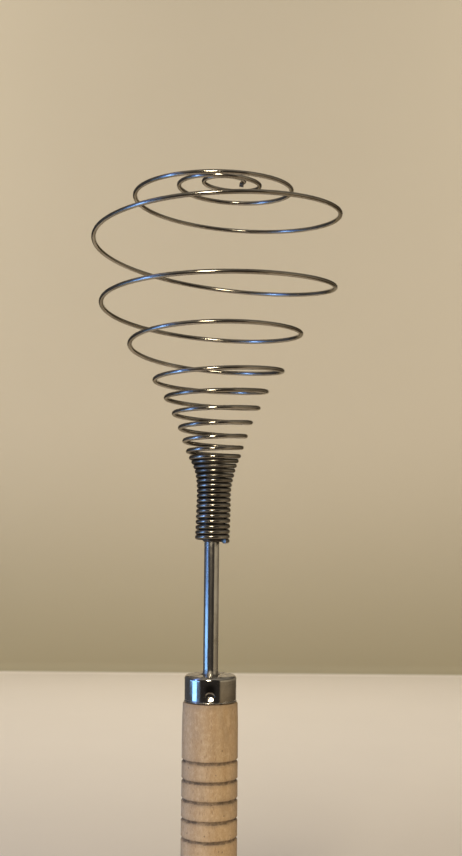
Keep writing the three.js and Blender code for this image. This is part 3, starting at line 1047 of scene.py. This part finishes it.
@dataclass
class SpringHead:
    """The one long wire: a closed collar, a flare and the open loops.

    Angles are in degrees, and steps count for each turn. The collar's tilt goes out between the two
    turns of tilt_ends, and the painted shade between the collar's coils sets in between two angles
    round the wire.
    """

    wire_radius: float = 0.76 * MM
    bend: float = 0.7
    collar_tilt: float = 1.7
    tilt_ends: tuple[float, float] = (12, 17)
    closed_height: float = 26.0 * MM
    closed_turns: int = 16
    closed_steps: int = 40
    loop_steps: int = 84
    ring_points: int = 16
    hook_radius: float = 0.88 * MM
    hook_bend: float = 80.5
    hook_steps: int = 7
    hook_tail: float = 0.5 * MM
    # The painted shade between coils sets in between these two angles from straight out.
    coil_shade: tuple[float, float] = (38, 78)
    base: float = field(default_factory=collar_base)
    stations: list[Station] = field(default_factory=wound_stations)

    def rate(self, column: str, index: int) -> float:
        """The mean change of a column for each turn, over the stretch after a station."""
        start, end = self.stations[index], self.stations[index + 1]
        return (getattr(end, column) - getattr(start, column)) / (end.turn - start.turn)

    def slope(self, column: str, index: int) -> float:
        """How fast a column changes with the turns.

        Args:
            column: The station's field.
            index: The station's number.

        Returns:
            The change for each turn.
        """
        last = len(self.stations) - 1
        if index in (0, last):
            return self.rate(column, min(index, last - 1))
        before = self.stations[index].turn - self.stations[index - 1].turn
        after = self.stations[index + 1].turn - self.stations[index].turn
        both = after * self.rate(column, index - 1) + before * self.rate(column, index)
        return both / (before + after)

    def column(self, name: str, turn: float) -> float:
        """A column's value at any turn, on a smooth curve through the stations.

        Args:
            name: The station's field.
            turn: The turn.

        Returns:
            The value there, in the field's own unit.
        """
        last = len(self.stations) - 2
        index = next((i - 1 for i, place in enumerate(self.stations) if place.turn > turn), last)
        start, end = self.stations[index], self.stations[index + 1]
        span = end.turn - start.turn
        t = (turn - start.turn) / span
        return (
            (2 * t**3 - 3 * t**2 + 1) * getattr(start, name)
            + (t**3 - 2 * t**2 + t) * span * self.slope(name, index)
            + (3 * t**2 - 2 * t**3) * getattr(end, name)
            + (t**3 - t**2) * span * self.slope(name, index + 1)
        )

    def middle(self, turn: float) -> Vector:
        """The wire's middle, with the head's slight bend to the right.

        Args:
            turn: The turn.

        Returns:
            The place in metres.
        """
        angle = 2 * math.pi * turn
        radius = self.column("radius", turn)
        across, depth = radius * math.cos(angle), radius * math.sin(angle)
        lean = math.tan(math.radians(self.column("lean", turn)))
        tilt = math.tan(math.radians(self.collar_tilt * (1 - ease(turn, *self.tilt_ends))))
        height = self.column("height", turn) + lean * depth - tilt * across
        place = Vector((across + self.column("shift", turn), depth, height))
        place.rotate(Matrix.Rotation(math.radians(self.bend), 3, "Y"))
        return place * MM + Vector((0, 0, self.base))

    def hooked(self, points: Sequence[Vector]) -> list[Vector]:
        """The wire's last bit, turned down at the middle of the top spiral.

        Args:
            points: The wire's middle up to there.

        Returns:
            The points that follow them.
        """
        along = (points[-1] - points[-2]).normalized() * self.hook_radius
        up = Vector((0, 0, self.hook_radius))
        added = []
        for step in range(1, self.hook_steps + 1):
            angle = math.radians(self.hook_bend * step / self.hook_steps)
            added.append(points[-1] - up + along * math.sin(angle) + up * math.cos(angle))
        tail = (added[-1] - added[-2]).normalized() * self.hook_tail
        return [*added, added[-1] + tail]

    def path(self) -> list[Vector]:
        """The wire's middle from end to end.

        Returns:
            Its points.
        """
        turn, last = self.stations[0].turn, self.stations[-1].turn
        points = [self.middle(turn)]
        while turn < last:
            steps = self.closed_steps if turn < self.closed_turns else self.loop_steps
            turn = min(turn + 1 / steps, last)
            points.append(self.middle(turn))
        return points + self.hooked(points)

    def wound(self, path: Sequence[Vector]) -> Object:
        """Sweep the round wire along its path.

        Args:
            path: The wire's middle.

        Returns:
            The wire as a mesh.
        """
        Workbench.clear()
        curve = bpy.data.curves.new("sprung_wire", "CURVE")
        curve.dimensions = "3D"
        curve.twist_mode = "MINIMUM"
        curve.bevel_depth = self.wire_radius
        curve.bevel_resolution = self.ring_points // 4 - 1
        curve.use_fill_caps = True
        spline = curve.splines.new("POLY")
        spline.points.add(len(path) - 1)
        for point, place in zip(spline.points, path):
            point.co = (*place, 1.0)
        Workbench.choose(Workbench.added("sprung_wire", curve))
        bpy.ops.object.convert(target="MESH")
        return bpy.context.object

    def mark(self, piece: Object, path: Sequence[Vector]) -> None:
        """Write where each point lies along the wire and round it, and how much painted shade it gets between
        coils.

        Args:
            piece: The wire's mesh.
            path: The wire's middle.
        """
        mesh = piece.data
        names = ("wire_run", "wire_round", "wire_coil_shade")
        run, turn, coil_shade = (mesh.attributes.new(name, "FLOAT", "POINT") for name in names)
        ring = len(mesh.vertices) // len(path)
        shallow, deep = (math.radians(angle) for angle in self.coil_shade)
        travelled = [0.0]
        for before, after in zip(path, path[1:]):
            travelled.append(travelled[-1] + (after - before).length)
        for vertex in mesh.vertices:
            index = min(vertex.index // ring, len(path) - 1)
            side = vertex.co - path[index]
            outward = Vector((path[index].x, path[index].y, 0)).normalized()
            angle = abs(math.atan2(side.z, side.dot(outward)))
            run.data[vertex.index].value = travelled[index]
            turn.data[vertex.index].value = 2 * angle / math.pi
            # Painted shade between coils: none straight out, full where the face looks up, down and inwards.
            coil_shade.data[vertex.index].value = ease(angle, shallow, deep)

    def build(self) -> Object:
        """Wind the wire, mark it and dress it.

        Returns:
            The finished piece.
        """
        path = self.path()
        piece = self.wound(path)
        self.mark(piece, path)
        Workbench.weld(piece)
        Workbench.smooth(piece, angle=60)
        closed = self.base + self.closed_height
        finish = PlatedFinish(
            "spring_steel",
            Lay.ALONG_WIRE,
            bright=(0.50, 0.465, 0.41),
            dull=(0.25, 0.22, 0.175),
            tarnish_share=0.3,
            edge=(0.55, 0.53, 0.5),
            smooth=0.11,
            worn=0.15,
            mark_depth=0.001 * MM,
            # The painted shade between coils stays within the closed collar.
            collar=(self.base, closed),
        )
        Workbench.dress(piece, finish.material(), "spring_steel", "spring_wire")
        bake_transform(piece)
        return piece


@dataclass(frozen=True)
class Lamp:
    """A soft lamp that the camera doesn't see, round if it is as wide as high."""

    name: str
    size: tuple[float, float]
    power: float
    colour: Colour

    def added(self) -> Object:
        """Add the lamp.

        Returns:
            The lamp, at the origin and facing down.
        """
        data = bpy.data.lights.new(self.name, "AREA")
        data.shape = "ELLIPSE" if self.size[0] == self.size[1] else "RECTANGLE"
        data.size, data.size_y = self.size
        data.energy = self.power
        data.color = self.colour
        lamp = Workbench.added(self.name, data)
        lamp.visible_camera = False
        return lamp


@dataclass(frozen=True)
class AimedLamp(Lamp):
    """A lamp that faces the whisk, placed by its direction in degrees, from the front to the right."""

    azimuth: float
    elevation: float
    distance: float
    mirrored: bool = True

    def hang(self, aim: Vector) -> None:
        """Hang the lamp so that it faces a point.

        Args:
            aim: The point, from which the direction and the distance count.
        """
        azimuth, elevation = math.radians(self.azimuth), math.radians(self.elevation)
        level = math.cos(elevation)
        way = Vector((math.sin(azimuth) * level, -math.cos(azimuth) * level, math.sin(elevation)))
        lamp = self.added()
        lamp.location = aim + way * self.distance
        lamp.rotation_mode = "QUATERNION"
        lamp.rotation_quaternion = (-way).to_track_quat("-Z", "Y")
        lamp.visible_glossy = self.mirrored


@dataclass(frozen=True)
class BackLamp(Lamp):
    """A lamp for the wall or the floor, that the metal doesn't mirror and whose light misses the whisk."""

    place: tuple[float, float, float]
    tilt: float = 90
    spread: float = 180

    def hang(self) -> None:
        """Hang the lamp where it belongs, tilted and spread by degrees."""
        lamp = self.added()
        lamp.data.spread = math.radians(self.spread)
        lamp.location = self.place
        lamp.rotation_euler = (math.radians(self.tilt), 0, 0)
        lamp.visible_glossy = False


BACK_LAMPS = (
    BackLamp("wall_left", (0.3, 0.7), 10.6, (1.0, 0.96, 0.90), (-1.0, 0.15, 0.8)),
    BackLamp("wall_right", (0.3, 0.7), 9.0, (1.0, 0.96, 0.90), (1.0, 0.15, 0.8)),
    BackLamp("floor_lamp", (0.6, 0.3), 0.3, (1.0, 0.95, 0.88), (0, 0.6, 0.95), tilt=0, spread=60),
)
LAMPS = (
    AimedLamp("key", (0.42, 0.42), 14.5, (1.0, 0.88, 0.66), -8.3, 20.8, 1.5),
    AimedLamp("window_low", (0.185, 0.065), 0.20, (0.22, 0.5, 1.0), -73, -15.9, 0.5),
    AimedLamp("window", (0.48, 0.05), 0.215, (0.22, 0.5, 1.0), -74, -9.4, 0.5),
    AimedLamp("window_glow", (0.2, 1.1), 0.62, (0.06, 0.22, 0.85), -71, 5.0, 0.5),
    AimedLamp("window_core", (0.065, 0.10), 0.20, (0.3, 0.52, 1.0), -66, 9.0, 0.5),
    AimedLamp("cool_fill", (0.9, 0.9), 1.1, (0.02, 0.3, 1.0), -66, 18, 1.0, mirrored=False),
    AimedLamp("warm_fill", (0.9, 0.9), 2.3, (1.0, 0.78, 0.5), 40, 24, 1.3, mirrored=False),
)


@dataclass
class Studio:
    """The floor, the backdrop, the lights and the camera.

    The focal length and the place of the collar's foot are in the photograph's pixels, and the
    camera's tilt and roll in degrees. The scale is in metres per pixel at the rod.
    """

    image_width: int = 462
    image_height: int = 856
    focal_pixels: float = 1200.0
    sensor: float = 36.0
    scale: float = 0.333 * MM
    collar_pixel: tuple[float, float] = (211.85, 539.84)
    look_up: float = 4.6
    roll: float = 0.5
    wall_distance: float = 0.93
    front_edge: float = -0.14
    half_width: float = 0.34
    cove: float = 0.012
    cove_steps: int = 12
    wall_height: float = 1.3
    floor_colour: Colour = (0.82, 0.75, 0.65)
    # Painted light: the table's paler colour near the front.
    floor_front_painted_light: Colour = (0.93, 0.85, 0.735)
    wall_low: Colour = (0.32, 0.28, 0.18)
    wall_high: Colour = (0.592, 0.523, 0.40)
    room_low: Colour = (0.21, 0.15, 0.085)
    room_level: Colour = (0.60, 0.52, 0.38)
    room_high: Colour = (0.17, 0.15, 0.12)
    room_back: Colour = (0.05, 0.035, 0.022)
    room_left: Colour = (0.095, 0.10, 0.115)
    room_top: Colour = (0.30, 0.27, 0.225)
    room_front: Colour = (0.035, 0.031, 0.029)
    foot: float = field(default_factory=collar_base)

    def camera(self) -> None:
        """Set the camera where it stood for the photograph."""
        tilt, roll = math.radians(self.look_up), math.radians(self.roll)
        right = Vector((math.cos(roll), -math.sin(tilt) * math.sin(roll), math.cos(tilt) * math.sin(roll)))
        above = Vector((-math.sin(roll), -math.sin(tilt) * math.cos(roll), math.cos(tilt) * math.cos(roll)))
        ahead = Vector((0, math.cos(tilt), math.sin(tilt)))
        across = self.image_width / 2 - self.collar_pixel[0]
        down = self.collar_pixel[1] - self.image_height / 2
        offset = right * across + above * down - ahead * self.focal_pixels
        data = bpy.data.cameras.new("camera")
        data.sensor_width = self.sensor
        data.lens = self.sensor * self.focal_pixels / self.image_height
        data.clip_start = 0.01
        camera = Workbench.added("camera", data)
        turn = Matrix((right, above, -ahead)).transposed().to_4x4()
        camera.matrix_world = Matrix.Translation(offset * self.scale + Vector((0, 0, self.foot))) @ turn
        bpy.context.scene.camera = camera

    def backdrop(self) -> None:
        """A pale table top that turns up in a small cove into a beige wall behind the whisk."""
        Workbench.clear()
        back = self.wall_distance - self.cove
        bpy.ops.mesh.primitive_plane_add(size=1.0, location=(0, (back + self.front_edge) / 2, 0))
        piece = bpy.context.object
        piece.name = "studio_backdrop"
        piece.scale = (2 * self.half_width, back - self.front_edge, 1)
        bpy.ops.object.transform_apply(location=True, rotation=True, scale=True)
        points = piece.data.vertices
        near_back = back - self.cove / 2
        Workbench.pick(piece, "EDGE", lambda edge: all(points[end].co.y > near_back for end in edge.vertices))
        length = self.cove * math.pi / 2 / self.cove_steps
        for step in range(self.cove_steps):
            angle = math.pi / 2 * (step + 0.5) / self.cove_steps
            Workbench.extrude((0, length * math.cos(angle), length * math.sin(angle)))
        Workbench.extrude((0, 0, self.wall_height))
        Workbench.leave()
        Workbench.smooth(piece)
        piece.data.materials.append(self.backdrop_material())

    def backdrop_material(self) -> Material:
        """Off-white on the table, paler towards its front as painted light, going over to beige that pales up
        the wall, darker low down as painted shade.

        Returns:
            The material.
        """
        bench = FinishBench("studio_backdrop")
        # The table's front is paler: painted light where the lamps reach it less.
        table = bench.mixed(bench.y.step_up(0.62, 0.22), self.floor_colour, self.floor_front_painted_light)
        # The wall is darker low down: painted shade towards the floor.
        wall = bench.mixed(bench.z.step_up(-0.08, 0.30), self.wall_low, self.wall_high)
        grain = bench.clouds((9, 9, 9), 3.0)
        colour = bench.layered(table, (bench.z.step_up(0.0, 0.003), wall), (grain * 0.06, self.wall_low))
        return bench.finish(Base_Color=colour, Roughness=0.9, Specular_IOR_Level=0.1)

    def surroundings(self) -> None:
        """The room in the metal's reflections: palest level with the whisk, darkest behind the camera."""
        world = bpy.data.worlds.new("studio")
        bpy.context.scene.world = world
        world.use_nodes = True
        bench = NodeBench(world.node_tree)
        x, y, z = bench.axes(bench.coordinates("Generated"))
        colour = bench.layered(
            self.room_low,
            (z.step_up(-0.15, -0.09), self.room_level),
            (z.step_up(0.12, 0.30), self.room_high),
            (y.step_up(-0.7, 0.9) * 0.7, self.room_back),
            (x.step_up(-0.2, -0.8), self.room_left),
            (z.step_up(0.25, 0.8), self.room_top),
            (y.step_up(-0.66, -0.76), self.room_front),
        )
        bench.feed(world.node_tree.nodes["Background"].inputs["Color"], colour)

    def build(self) -> None:
        """Set the whole studio round the object."""
        self.camera()
        self.backdrop()
        self.surroundings()
        for lamp in BACK_LAMPS:
            lamp.hang()
        for lamp in LAMPS:
            lamp.hang(Vector((0, 0, self.foot)))
        bpy.context.scene.view_settings.view_transform = "Standard"


def main() -> None:
    """Build the studio and every piece."""
    logging.basicConfig(level=logging.INFO, format="%(name)s: %(message)s")
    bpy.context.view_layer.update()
    Studio().build()
    for maker in (TurnedHandle(), PressedFerrule(), SteelRod(), SpringPlug(), SpringHead()):
        piece = maker.build()
        log.info("%s: %d faces", piece.name, len(piece.data.polygons))
    Workbench.clear()


if __name__ == "__main__":
    main()
